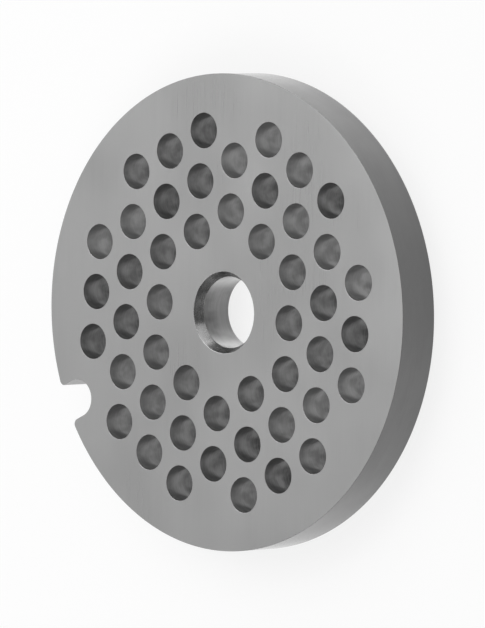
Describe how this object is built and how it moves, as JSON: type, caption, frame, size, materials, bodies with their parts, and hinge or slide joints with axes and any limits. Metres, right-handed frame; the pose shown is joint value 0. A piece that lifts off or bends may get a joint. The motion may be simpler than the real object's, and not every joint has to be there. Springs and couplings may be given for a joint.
{
  "type": "meat grinder plate",
  "caption": "Flat round steel plate for a meat grinder, with straight drilled holes on a triangular lattice, a countersunk central bore and a keyway slot in the rim.",
  "frame": {"origin": "centre of the bore on the bottom face, on the surface that the plate lies on", "axes": "+Z along the bore axis, out of the countersunk cutting face; +X through the middle of the keyway slot in the rim"},
  "size_m": [0.0534, 0.0534, 0.0052],
  "materials": {
    "ground_steel": "bare steel: faces surface-ground to a fine satin, rim and bore finish-turned, holes as drilled"
  },
  "bodies": {
    "root": {"grinder_plate": "ground_steel"}
  },
  "joints": []
}
